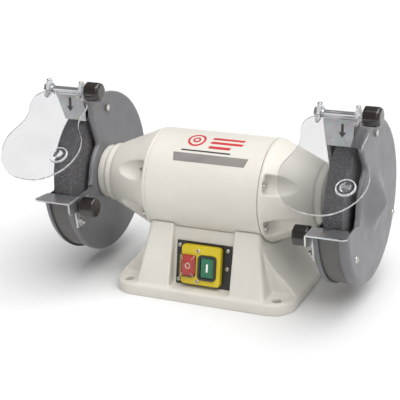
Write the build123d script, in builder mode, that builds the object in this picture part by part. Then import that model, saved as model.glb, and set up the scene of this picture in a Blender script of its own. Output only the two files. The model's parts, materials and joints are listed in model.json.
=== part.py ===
"""Bench grinder with two wheels, guards, eye shields, tool rests and an on/off switch.

Frame: +X along the motor shaft to the right, +Y to the back, +Z up, in millimetres.
The origin is the centre of the four base bolt holes, on the underside of the base.
"""

import os
from math import atan, atan2, cos, degrees, radians, sin, sqrt, tan

from build123d import *

os.makedirs("parts", exist_ok=True)

SIDES = {"left": -1, "right": 1}

# ---- driving dimensions -----------------------------------------------------------------
shaft_height = 126.2
running_gap = 0.05
seat_gap = 0.1

wheel_radius = 87.5
wheel_width = 25.0
wheel_centre = 175.2
wheel_inner_face = wheel_centre - wheel_width / 2
wheel_outer_face = wheel_centre + wheel_width / 2

sheet = 1.6
cover_radius = 102.0
band_radius = 99.4
inner_cover_plane = 155.4
outer_cover_plane = 196.6
inner_rim_width = 7.0
outer_rim_round = 10.0
nut_bulge_height = 16.0
nut_bulge_radius = 42.0

housing_radius = 63.6
housing_wall = 6.6
housing_half_length = 73.5
bell_small_radius = 38.8
bell_end = 134.4
neck_radius = 36.9
neck_end = 144.3
spigot_radius = 33.5
bell_screw_angles = (28, 152, 208, 332)
bell_screw_radius = 59.4
bell_pocket_radius = 12.0
bell_pocket_centre = 57.5
bell_pocket_floor = 79.0
bell_wall = 4.0

shaft_core_radius = 11.0
journal_radius = 8.5
spindle_radius = 8.0
shaft_end = 201.0
core_radius = 35.5
air_gap = 0.5
core_half_length = 32.0
slot_count = 12

bearing_centre = 136.0
bearing_width = 12.0
bearing_outer_radius = 20.0
bearing_pitch_radius = 14.25
ball_radius = 3.375
ball_count = 8

base_length = 237.8
base_depth = 173.8
base_corner = 29.0
flange_height = 15.0
foot_spacing_x = 198.0
foot_spacing_y = 143.2
foot_hole_radius = 5.5
foot_pad_height = 12.0
column_top = 90.0
column_half_length_foot = 88.3
column_half_depth_foot = 87.0
column_side_slope = 0.183
column_front_slope = 0.351
column_corner = 5.0
flare_half_depth = 55.0
flare_top = 87.0
cavity_top = 54.0
cavity_wall = 3.5

switch_tilt = 13.5
switch_centre = (-61.5, 41.0)
switch_plate_length = 73.0
switch_plate_height = 54.0
switch_plate_v = 1.5
switch_plate_thickness = 2.0
switch_face_u = -1.0
switch_face_v = 1.5
switch_face_length = 52.0
switch_face_height = 49.0
switch_face_lift = 8.0
button_travel = 3.0
button_gap = 0.4

rod_y = -44.1
rod_z = 246.2
rod_radius = 3.5
shield_assembly_centre = 176.0
shield_angle = 60.5
shield_thickness = 2.5
ear_thickness = 3.5
deflector_sheet = 1.2

rest_top = 125.0
rest_thickness = 2.0
rest_inner = 150.7
rest_outer = 200.6
rest_front = -114.0
rest_back = -89.3
rest_flange_drop = 17.0
rest_travel = 12.0
rest_knob_y = -86.2
rest_knob_z = 111.6
knob_stud_radius = 3.0
knob_radius = 12.5

SHAFT_AXIS = Axis((0, 0, shaft_height), (1, 0, 0))
SHAFT_PROFILE = Plane(origin=(0, 0, shaft_height), x_dir=(1, 0, 0), z_dir=(0, -1, 0))


def across_shaft(x):
    """A plane square to the shaft at x; its own x is +Y and its own y is +Z."""
    return Plane(origin=(x, 0, shaft_height), x_dir=(0, 1, 0), z_dir=(1, 0, 0))


def across_x(x, y=0.0, z=0.0):
    """A plane square to X through a point; its own x is +Y and its own y is +Z."""
    return Plane(origin=(x, y, z), x_dir=(0, 1, 0), z_dir=(1, 0, 0))


def write(builder, label):
    """Label a finished piece and write it as one STEP file."""
    builder.part.label = label
    export_step(builder.part, f"parts/{label}.step")


# ---- base casting -----------------------------------------------------------------------
def column_half_length(z):
    return column_half_length_foot - column_side_slope * z


def column_half_depth(z):
    return column_half_depth_foot - column_front_slope * z


switch_front = Plane(
    origin=(0, switch_centre[0], switch_centre[1]),
    x_dir=(1, 0, 0),
    z_dir=(0, -cos(radians(switch_tilt)), sin(radians(switch_tilt))),
)


def recess_floor_y(z):
    """Y of the flat floor of the switch recess at height z."""
    back = switch_plate_thickness / cos(radians(switch_tilt))
    return switch_centre[0] + back + (z - switch_centre[1]) * tan(radians(switch_tilt))


def cavity_half_depth(z):
    return -recess_floor_y(z) - cavity_wall


gland_height = 32.0
gland_slope = atan(column_front_slope)
gland_plane = Plane(
    origin=(-40, column_half_depth(gland_height) + 0.1, gland_height),
    x_dir=(1, 0, 0),
    z_dir=(0, cos(gland_slope), sin(gland_slope)),
)

with BuildPart() as side_flares:
    with BuildSketch(Plane.XZ.offset(-flare_half_depth)):
        with BuildLine():
            half = base_length / 2 - 0.6
            Line((-half, flange_height - 4), (-half, flange_height - 1))
            Spline((-half, flange_height - 1), (-101, 33), (-84, 55), (-73.5, flare_top))
            Line((-73.5, flare_top), (73.5, flare_top))
            Spline((73.5, flare_top), (84, 55), (101, 33), (half, flange_height - 1))
            Line((half, flange_height - 1), (half, flange_height - 4))
            Line((half, flange_height - 4), (-half, flange_height - 4))
        make_face()
    extrude(amount=2 * flare_half_depth)
    # conical scoops around the four foot bolts
    with Locations((0, 0, foot_pad_height)):
        with GridLocations(foot_spacing_x + 10, foot_spacing_y + 6, 2, 2):
            Cone(21, 27, 90, align=(Align.CENTER, Align.CENTER, Align.MIN), mode=Mode.SUBTRACT)

with BuildPart() as base:
    with BuildSketch(Plane.XY) as flange_outline:
        RectangleRounded(base_length, base_depth, base_corner)
    extrude(amount=flange_height)
    fillet(base.edges().group_by(Axis.Z)[-1], radius=3.5)
    # tapered column, round at its upright corners
    with BuildSketch(Plane.XY.offset(flange_height - 3)):
        z_low = flange_height - 3
        RectangleRounded(2 * column_half_length(z_low), 2 * column_half_depth(z_low), column_corner)
    with BuildSketch(Plane.XY.offset(column_top)):
        RectangleRounded(
            2 * column_half_length(column_top), 2 * column_half_depth(column_top), column_corner
        )
    loft()
    add(side_flares.part)
    # saddle for the motor housing
    with BuildSketch(across_shaft(-base_length / 2)):
        Circle(housing_radius + seat_gap)
    extrude(amount=base_length, mode=Mode.SUBTRACT)
    # hollow underside
    with BuildSketch(Plane.XY.offset(-0.01)):
        Rectangle(2 * column_half_length(0) - 18, 2 * cavity_half_depth(0))
    with BuildSketch(Plane.XY.offset(cavity_top)):
        Rectangle(2 * column_half_length(cavity_top) - 14, 2 * cavity_half_depth(cavity_top))
    loft(mode=Mode.SUBTRACT)
    # rebate that the bottom plate sits in
    with BuildSketch(Plane.XY):
        RectangleRounded(168, 148, 4)
    extrude(amount=3.0, mode=Mode.SUBTRACT)
    # recess for the switch, open upwards to the motor housing
    with BuildSketch(across_x(-40.4)):
        with BuildLine():
            low_z = flange_height + 0.2
            high_z = column_top + 5
            Polyline(
                (-100, low_z),
                (recess_floor_y(low_z), low_z),
                (recess_floor_y(high_z), high_z),
                (-100, high_z),
                close=True,
            )
        make_face()
    extrude(amount=80.8, mode=Mode.SUBTRACT)
    # window for the body of the switch
    with BuildSketch(switch_front.offset(-40)):
        with Locations((switch_face_u, switch_face_v)):
            Rectangle(46, 42)
    extrude(amount=39, mode=Mode.SUBTRACT)
    # foot bolt holes
    with Locations((0, 0, -1)):
        with GridLocations(foot_spacing_x, foot_spacing_y, 2, 2):
            Cylinder(
                foot_hole_radius,
                flange_height + 2,
                align=(Align.CENTER, Align.CENTER, Align.MIN),
                mode=Mode.SUBTRACT,
            )
    # holes for the two motor bolts and the wires
    with Locations((-50, 0, 58), (50, 0, 58)):
        Cylinder(3.2, 20, mode=Mode.SUBTRACT)
    with Locations((0, 0, 58)):
        Cylinder(8, 20, mode=Mode.SUBTRACT)
    # gland hole in the back wall
    with BuildSketch(gland_plane.offset(-30)):
        Circle(8.1)
    extrude(amount=35, mode=Mode.SUBTRACT)
    # seats for the bottom plate screws
    with Locations((0, 0, 3)):
        with GridLocations(150, 120, 2, 2):
            Cylinder(7, 30, align=(Align.CENTER, Align.CENTER, Align.MIN))
            Cylinder(
                2.1, 14, align=(Align.CENTER, Align.CENTER, Align.MIN), mode=Mode.SUBTRACT
            )
write(base, "base")

with BuildPart() as base_plate:
    with BuildSketch(Plane.XY.offset(1.2)):
        RectangleRounded(167.4, 147.4, 4)
        with GridLocations(150, 120, 2, 2):
            Circle(2.3, mode=Mode.SUBTRACT)
        with Locations((0, 20)):
            with GridLocations(14, 0, 5, 1):
                SlotOverall(30, 3, rotation=90, mode=Mode.SUBTRACT)
    extrude(amount=1.8)
write(base_plate, "base_plate")

with BuildPart() as base_plate_screws:
    with Locations((0, 0, 0.1)):
        with GridLocations(150, 120, 2, 2):
            Cylinder(3.6, 1.1, align=(Align.CENTER, Align.CENTER, Align.MIN))
            Cylinder(2.0, 13, align=(Align.CENTER, Align.CENTER, Align.MIN))
write(base_plate_screws, "base_plate_screws")

with BuildPart() as motor_hold_down_bolts:
    bolt_top = shaft_height - housing_radius + housing_wall - 0.8
    for bolt_x in (-50, 50):
        with BuildSketch(Plane((bolt_x, 0, cavity_top - 5.2))):
            RegularPolygon(5.5, 6)
        extrude(amount=5)
        with BuildSketch(Plane((bolt_x, 0, cavity_top - 5))):
            Circle(3.0)
        extrude(amount=bolt_top - cavity_top + 5)
write(motor_hold_down_bolts, "motor_hold_down_bolts")


# ---- motor ------------------------------------------------------------------------------
with BuildPart() as motor_housing:
    with BuildSketch(across_shaft(-housing_half_length)):
        Circle(housing_radius)
        Circle(housing_radius - housing_wall, mode=Mode.SUBTRACT)
    extrude(amount=2 * housing_half_length)
    with BuildSketch(across_shaft(-housing_half_length)):
        for angle in bell_screw_angles:
            with Locations(
                (bell_screw_radius * cos(radians(angle)), bell_screw_radius * sin(radians(angle)))
            ):
                Circle(2.1)
    extrude(amount=2 * housing_half_length, mode=Mode.SUBTRACT)
    with Locations((-50, 0, 65), (50, 0, 65)):
        Cylinder(3.1, 16, mode=Mode.SUBTRACT)
    with Locations((0, 0, 65)):
        Cylinder(8, 20, mode=Mode.SUBTRACT)
write(motor_housing, "motor_housing")

stator_outer = housing_radius - housing_wall - seat_gap
stator_inner = core_radius + air_gap
with BuildPart() as stator_core:
    with BuildSketch(across_shaft(-core_half_length)):
        Circle(stator_outer)
        Circle(stator_inner, mode=Mode.SUBTRACT)
        with PolarLocations(45, slot_count):
            SlotOverall(14, 7, mode=Mode.SUBTRACT)
        with PolarLocations(stator_inner, slot_count):
            Rectangle(6, 2.2, mode=Mode.SUBTRACT)
    extrude(amount=2 * core_half_length)
    with Locations((-50, 0, 69), (50, 0, 69)):
        Cylinder(3.3, 6, mode=Mode.SUBTRACT)
write(stator_core, "stator_core")

with BuildPart() as stator_windings:
    with BuildSketch(across_shaft(-core_half_length - 1)):
        with PolarLocations(45, slot_count):
            SlotOverall(13.4, 6.4)
    extrude(amount=2 * core_half_length + 2)
    for end in (-1, 1):
        with BuildSketch(SHAFT_PROFILE):
            with Locations((end * (core_half_length + 9.5), 45)):
                RectangleRounded(18, 15, 6)
        revolve(axis=SHAFT_AXIS)
write(stator_windings, "stator_windings")


def bell_outer_radius(x):
    """Outside radius of an end bell's cone at distance x from the middle."""
    start = housing_half_length + 3.5
    return housing_radius - (x - start) * (housing_radius - bell_small_radius) / (bell_end - start)


def bell_cavity(side):
    """The space inside an end bell: its cone less the walls around the screw pockets."""
    start = housing_half_length - 0.5
    reach = bearing_centre - bearing_width / 2 - 5
    with BuildPart() as cavity:
        with BuildSketch(SHAFT_PROFILE):
            Polygon(
                (side * start, 0),
                (side * start, housing_radius - housing_wall - 1),
                (side * (start + 4), housing_radius - housing_wall - 1),
                (side * reach, bell_outer_radius(reach) - bell_wall - 2),
                (side * reach, 0),
                align=None,
            )
        revolve(axis=SHAFT_AXIS)
        for angle in bell_screw_angles:
            y = bell_pocket_centre * cos(radians(angle))
            z = bell_pocket_centre * sin(radians(angle))
            with BuildSketch(across_shaft(side * (start - 1))):
                with Locations((y, z)):
                    Circle(bell_pocket_radius + bell_wall - 1)
            extrude(amount=side * 80, mode=Mode.SUBTRACT)
    return cavity.part


for side_name, side in SIDES.items():
    with BuildPart() as end_bell:
        with BuildSketch(SHAFT_PROFILE):
            Polygon(
                (side * housing_half_length, 0),
                (side * housing_half_length, housing_radius),
                (side * (housing_half_length + 3.5), housing_radius),
                (side * bell_end, bell_small_radius),
                (side * (bell_end + 0.1), neck_radius - 1.2),
                (side * (bell_end + 1.5), neck_radius - 1.2),
                (side * (bell_end + 1.5), neck_radius),
                (side * (neck_end - 1), neck_radius),
                (side * neck_end, neck_radius - 1),
                (side * neck_end, spigot_radius),
                (side * inner_cover_plane, spigot_radius),
                (side * inner_cover_plane, 0),
                align=None,
            )
        revolve(axis=SHAFT_AXIS)
        add(bell_cavity(side), mode=Mode.SUBTRACT)
        # scooped pockets for the bell screws
        for angle in bell_screw_angles:
            y = bell_pocket_centre * cos(radians(angle))
            z = bell_pocket_centre * sin(radians(angle))
            with BuildSketch(across_shaft(side * bell_pocket_floor)):
                with Locations((y, z)):
                    Circle(bell_pocket_radius)
            extrude(amount=side * 50, mode=Mode.SUBTRACT)
            hole_y = bell_screw_radius * cos(radians(angle))
            hole_z = bell_screw_radius * sin(radians(angle))
            with BuildSketch(across_shaft(side * (housing_half_length - 1))):
                with Locations((hole_y, hole_z)):
                    Circle(2.1)
            extrude(amount=side * 8, mode=Mode.SUBTRACT)
        # bearing seat, shaft hole and guard screw holes
        with BuildSketch(across_shaft(side * (bearing_centre - bearing_width / 2 - 6))):
            Circle(bearing_outer_radius + 0.02)
        extrude(amount=side * (bearing_width + 6), mode=Mode.SUBTRACT)
        with BuildSketch(across_shaft(side * (bearing_centre + bearing_width / 2 - 1))):
            Circle(journal_radius + 1.5)
        extrude(amount=side * 30, mode=Mode.SUBTRACT)
        with BuildSketch(across_shaft(side * (inner_cover_plane - 12))):
            with PolarLocations(29.5, 3, start_angle=90):
                Circle(1.8)
        extrude(amount=side * 13, mode=Mode.SUBTRACT)
    write(end_bell, f"end_bell_{side_name}")

with BuildPart() as end_bell_screws:
    for side in SIDES.values():
        for angle in bell_screw_angles:
            y = bell_screw_radius * cos(radians(angle))
            z = bell_screw_radius * sin(radians(angle))
            with BuildSketch(across_shaft(side * (bell_pocket_floor + 0.05))):
                with Locations((y, z)):
                    Circle(3.6)
            extrude(amount=side * 3.0)
            with BuildSketch(across_shaft(side * (housing_half_length - 12))):
                with Locations((y, z)):
                    Circle(2.0)
            extrude(amount=side * 19)
    for side in SIDES.values():
        for angle in bell_screw_angles:
            y = bell_screw_radius * cos(radians(angle))
            z = bell_screw_radius * sin(radians(angle))
            with BuildSketch(across_shaft(side * (bell_pocket_floor + 2.0))):
                with Locations((y, z)):
                    Rectangle(4.2, 0.9)
                    Rectangle(0.9, 4.2)
            extrude(amount=side * 2.0, mode=Mode.SUBTRACT)
write(end_bell_screws, "end_bell_screws")


# ---- rotor: shaft, core, bearings ---------------------------------------------------------
with BuildPart() as shaft:
    with BuildSketch(SHAFT_PROFILE):
        with BuildLine():
            Polyline(
                (0, 0),
                (0, shaft_core_radius),
                (core_half_length + 28, shaft_core_radius),
                (core_half_length + 28, journal_radius + 1.5),
                (bearing_centre - bearing_width / 2, journal_radius + 1.5),
                (bearing_centre - bearing_width / 2, journal_radius),
                (wheel_inner_face - 5.6, journal_radius),
                (wheel_inner_face - 5.6, spindle_radius),
                (shaft_end - 1.2, spindle_radius),
                (shaft_end, spindle_radius - 1.2),
                (shaft_end, 0),
                close=True,
            )
        make_face()
    revolve(axis=SHAFT_AXIS)
    mirror(about=Plane.YZ)
write(shaft, "shaft")

with BuildPart() as rotor_core:
    with BuildSketch(across_shaft(-core_half_length)):
        Circle(core_radius)
        Circle(shaft_core_radius + 0.02, mode=Mode.SUBTRACT)
        with PolarLocations(core_radius, 20):
            Rectangle(4, 1.4, mode=Mode.SUBTRACT)
    extrude(amount=2 * core_half_length)
    for end in (-1, 1):
        with BuildSketch(across_shaft(end * core_half_length)):
            Circle(core_radius - 2)
            Circle(core_radius - 10, mode=Mode.SUBTRACT)
        extrude(amount=end * 6)
write(rotor_core, "rotor_core")

inner_race_radius = 12.1
outer_race_radius = 16.5
half_bearing = bearing_width / 2
with BuildPart() as bearing_outer_rings:
    for side in SIDES.values():
        with BuildSketch(SHAFT_PROFILE):
            with Locations((side * bearing_centre, (bearing_outer_radius + outer_race_radius) / 2)):
                Rectangle(bearing_width - 0.2, bearing_outer_radius - outer_race_radius)
            with Locations((side * bearing_centre, bearing_pitch_radius)):
                Circle(ball_radius + running_gap + 0.03, mode=Mode.SUBTRACT)
        revolve(axis=SHAFT_AXIS)
write(bearing_outer_rings, "bearing_outer_rings")

with BuildPart() as bearing_inner_rings:
    for side in SIDES.values():
        with BuildSketch(SHAFT_PROFILE):
            with Locations((side * bearing_centre, (journal_radius + 0.02 + inner_race_radius) / 2)):
                Rectangle(bearing_width - 0.2, inner_race_radius - journal_radius - 0.02)
            with Locations((side * bearing_centre, bearing_pitch_radius)):
                Circle(ball_radius + 0.03, mode=Mode.SUBTRACT)
        revolve(axis=SHAFT_AXIS)
write(bearing_inner_rings, "bearing_inner_rings")

with BuildPart() as bearing_balls:
    for side in SIDES.values():
        for index in range(ball_count):
            angle = radians(360 / ball_count * index)
            y = bearing_pitch_radius * cos(angle)
            z = bearing_pitch_radius * sin(angle)
            with Locations((side * bearing_centre, y, shaft_height + z)):
                Sphere(ball_radius)
write(bearing_balls, "bearing_balls")


# ---- wheels and their flanges -------------------------------------------------------------
flange_radius = 25.5
blotter = 0.8
outer_flange_end = wheel_outer_face + blotter + 4.6
nut_end = outer_flange_end + 7.4

for side_name, side in SIDES.items():
    with BuildPart() as wheel:
        with BuildSketch(SHAFT_PROFILE):
            Polygon(
                (side * wheel_inner_face, spindle_radius + seat_gap),
                (side * wheel_inner_face, wheel_radius - 1.2),
                (side * (wheel_inner_face + 1.2), wheel_radius),
                (side * (wheel_outer_face - 1.2), wheel_radius),
                (side * wheel_outer_face, wheel_radius - 1.2),
                (side * wheel_outer_face, spindle_radius + seat_gap),
                align=None,
            )
        revolve(axis=SHAFT_AXIS)
    write(wheel, f"wheel_{side_name}")

with BuildPart() as inner_flanges:
    for side in SIDES.values():
        with BuildSketch(SHAFT_PROFILE):
            Polygon(
                (side * (wheel_inner_face - blotter), spindle_radius + 0.03),
                (side * (wheel_inner_face - blotter), 16),
                (side * (wheel_inner_face - blotter - 1), 18),
                (side * (wheel_inner_face - blotter), 20),
                (side * (wheel_inner_face - blotter), flange_radius),
                (side * (wheel_inner_face - blotter - 2.5), flange_radius),
                (side * (wheel_inner_face - 5.2), 15),
                (side * (wheel_inner_face - 5.2), spindle_radius + 0.03),
                align=None,
            )
        revolve(axis=SHAFT_AXIS)
write(inner_flanges, "inner_flanges")

with BuildPart() as outer_flanges:
    for side in SIDES.values():
        with BuildSketch(SHAFT_PROFILE):
            Polygon(
                (side * (wheel_outer_face + blotter), spindle_radius + 0.03),
                (side * (wheel_outer_face + blotter), 16),
                (side * (wheel_outer_face + blotter + 1), 18),
                (side * (wheel_outer_face + blotter), 20),
                (side * (wheel_outer_face + blotter), flange_radius),
                (side * (wheel_outer_face + blotter + 2.5), flange_radius),
                (side * outer_flange_end, 15),
                (side * outer_flange_end, spindle_radius + 0.03),
                align=None,
            )
        revolve(axis=SHAFT_AXIS)
write(outer_flanges, "outer_flanges")

with BuildPart() as wheel_blotters:
    for side in SIDES.values():
        for start in (wheel_inner_face - blotter, wheel_outer_face):
            with BuildSketch(across_shaft(side * start)):
                Circle(30)
                Circle(spindle_radius + seat_gap, mode=Mode.SUBTRACT)
            extrude(amount=side * blotter)
write(wheel_blotters, "wheel_blotters")

for side_name, side in SIDES.items():
    with BuildPart() as spindle_nut:
        with BuildSketch(across_shaft(side * outer_flange_end)):
            RegularPolygon(13.6, 6)
            Circle(spindle_radius + 0.03, mode=Mode.SUBTRACT)
        extrude(amount=side * (nut_end - outer_flange_end))
    write(spindle_nut, f"spindle_nut_{side_name}")


# ---- wheel guards ---------------------------------------------------------------------------
cut_reach = cover_radius + 6
rest_notch = rest_top - rest_thickness - shaft_height - 1.0


def inner_opening():
    """Working opening of an inner cover, as a closed outline about the shaft."""
    arc_radius = 52
    high = (-26.5, 45.0)
    low = (-arc_radius * cos(radians(7)), arc_radius * sin(radians(7)))
    middle = (-arc_radius * cos(radians(33)), arc_radius * sin(radians(33)))
    with BuildLine() as outline:
        Polyline((-39, cut_reach), (-39, 95), high)
        ThreePointArc(high, middle, low)
        Polyline(low, (-57, rest_notch), (-cut_reach, rest_notch))
        Polyline((-cut_reach, rest_notch), (-cut_reach, cut_reach), (-39, cut_reach))
    return outline.line


def outer_opening(side):
    """Working opening of an outer cover; the left one is cut back further, behind its deflector."""
    arc_radius = 66.5
    turn = (-51, 42.7)
    low = (-arc_radius * cos(radians(4)), arc_radius * sin(radians(4)))
    middle = (-arc_radius * cos(radians(22)), arc_radius * sin(radians(22)))
    front = -60 if side > 0 else -39
    upper_edge = ((-55, 88), (-36, 52.5)) if side > 0 else ((-39, 98), (-20, 80), (-22, 54))
    with BuildLine() as outline:
        Polyline((front, cut_reach), *upper_edge, turn)
        ThreePointArc(turn, middle, low)
        Polyline(low, (-73, rest_notch), (-cut_reach, rest_notch))
        Polyline((-cut_reach, rest_notch), (-cut_reach, cut_reach), (front, cut_reach))
    return outline.line


bracket_bolt = (-85.8, -35.8)
deflector_bolt = (4.0, 84.0)
cover_screw_spots = ((-66.7, -45.6), (78.0, -45.6))
mount_screw_radius = 29.5
round_inside = outer_rim_round - sheet
band_rise = band_radius + 0.1 - cover_radius + outer_rim_round
band_end = outer_cover_plane - outer_rim_round + sqrt(round_inside**2 - band_rise**2) - 0.1

for side_name, side in SIDES.items():
    with BuildPart() as guard_inner_cover:
        with BuildSketch(SHAFT_PROFILE):
            Polygon(
                (side * inner_cover_plane, 0),
                (side * inner_cover_plane, cover_radius - 2.5),
                (side * (inner_cover_plane + 0.75), cover_radius - 0.75),
                (side * (inner_cover_plane + 2.5), cover_radius),
                (side * (inner_cover_plane + inner_rim_width), cover_radius),
                (side * (inner_cover_plane + inner_rim_width), cover_radius - sheet),
                (side * (inner_cover_plane + sheet), cover_radius - sheet),
                (side * (inner_cover_plane + sheet), 0),
                align=None,
            )
        revolve(axis=SHAFT_AXIS)
        with BuildSketch(across_shaft(side * (inner_cover_plane - 2))):
            add(inner_opening())
            make_face()
            Circle(12.5)
            with PolarLocations(mount_screw_radius, 3, start_angle=90):
                Circle(2.2)
            with Locations(bracket_bolt):
                Circle(3.2)
            if side < 0:
                with Locations(deflector_bolt):
                    Circle(2.3)
        extrude(amount=side * 12, mode=Mode.SUBTRACT)
    write(guard_inner_cover, f"guard_inner_cover_{side_name}")

    with BuildPart() as guard_band:
        with BuildSketch(across_shaft(side * (inner_cover_plane + sheet + 0.05))):
            Circle(band_radius)
            Circle(band_radius - sheet, mode=Mode.SUBTRACT)
            with BuildLine():
                Polyline(
                    (-cut_reach, -9),
                    (-60, -9),
                    (-30, 60),
                    (-35.5, cut_reach),
                    (-cut_reach, cut_reach),
                    close=True,
                )
            make_face(mode=Mode.SUBTRACT)
        extrude(amount=side * (band_end - inner_cover_plane - sheet))
    write(guard_band, f"guard_band_{side_name}")

    with BuildPart() as guard_outer_cover:
        bulge = outer_cover_plane + nut_bulge_height
        flat_edge = cover_radius - outer_rim_round
        rim_start = outer_cover_plane - outer_rim_round
        corner = outer_rim_round * sin(radians(45))
        with BuildSketch(SHAFT_PROFILE):
            with BuildLine():
                Bezier(
                    (side * bulge, 0),
                    (side * bulge, nut_bulge_radius * 0.22),
                    (side * outer_cover_plane, nut_bulge_radius * 0.62),
                    (side * outer_cover_plane, nut_bulge_radius),
                )
                Line((side * outer_cover_plane, nut_bulge_radius), (side * outer_cover_plane, flat_edge))
                ThreePointArc(
                    (side * outer_cover_plane, flat_edge),
                    (side * (rim_start + corner), flat_edge + corner),
                    (side * rim_start, cover_radius),
                )
                Line((side * rim_start, cover_radius), (side * rim_start, cover_radius - sheet))
                ThreePointArc(
                    (side * rim_start, cover_radius - sheet),
                    (
                        side * (rim_start + corner * (1 - sheet / outer_rim_round)),
                        flat_edge + corner * (1 - sheet / outer_rim_round),
                    ),
                    (side * (outer_cover_plane - sheet), flat_edge),
                )
                Line(
                    (side * (outer_cover_plane - sheet), flat_edge),
                    (side * (outer_cover_plane - sheet), nut_bulge_radius),
                )
                Bezier(
                    (side * (outer_cover_plane - sheet), nut_bulge_radius),
                    (side * (outer_cover_plane - sheet), nut_bulge_radius * 0.62),
                    (side * (bulge - sheet), nut_bulge_radius * 0.22),
                    (side * (bulge - sheet), 0),
                )
                Line((side * (bulge - sheet), 0), (side * bulge, 0))
            make_face()
        revolve(axis=SHAFT_AXIS)
        with BuildSketch(across_shaft(side * (rim_start - 2))):
            add(outer_opening(side))
            make_face()
            with Locations(*cover_screw_spots, deflector_bolt):
                Circle(2.2)
        extrude(amount=side * 30, mode=Mode.SUBTRACT)
    write(guard_outer_cover, f"guard_outer_cover_{side_name}")

with BuildPart() as guard_mount_screws:
    for side in SIDES.values():
        with BuildSketch(across_shaft(side * (inner_cover_plane - 10))):
            with PolarLocations(mount_screw_radius, 3, start_angle=90):
                Circle(1.7)
        extrude(amount=side * (10 + sheet + 0.2))
        with BuildSketch(across_shaft(side * (inner_cover_plane + sheet + 0.05))):
            with PolarLocations(mount_screw_radius, 3, start_angle=90):
                Circle(3.3)
        extrude(amount=side * 2.2)
write(guard_mount_screws, "guard_mount_screws")

with BuildPart() as cover_screws:
    for side in SIDES.values():
        spots = cover_screw_spots + ((deflector_bolt,) if side < 0 else ())
        for spot in spots:
            with BuildSketch(across_shaft(side * (outer_cover_plane + 0.05))):
                with Locations(spot):
                    Circle(3.8)
            extrude(amount=side * 2.0)
            with BuildSketch(across_shaft(side * (outer_cover_plane - 5))):
                with Locations(spot):
                    Circle(2.0)
            extrude(amount=side * 6)
write(cover_screws, "cover_screws")


# ---- spark deflector, shield rod, eye shield, knob --------------------------------------------
tab_face = 17.6
tab_spacer = 1.3
deflector_travel = 3.0
deflector_top = (rod_y + 4.6, rod_z + 2.0)
deflector_foot = (rod_y - 0.2, 207.2)
rim_top = shaft_height + cover_radius
cheek_left = (-25.8, -24.6)
cheek_right = (13.4, 14.6)
ear_left = (-30.3, -26.8)
ear_right = (15.0, 18.5)

shield_outline = (
    (-35, 7.5), (-43, 20), (-42, 33), (-38.5, 48), (-43, 66), (-49, 82), (-48.5, 98),
    (-43, 115), (-33, 129), (-18, 139), (2, 143), (21, 141), (36, 132), (47, 119), (53, 102),
    (52, 84), (44, 68), (36, 56), (33, 43), (34.5, 27), (31, 18.5), (22.5, 15.5),
)
shield_plane_dir = (0, -sin(radians(shield_angle)), -cos(radians(shield_angle)))
shield_normal = (0, -cos(radians(shield_angle)), sin(radians(shield_angle)))

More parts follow.
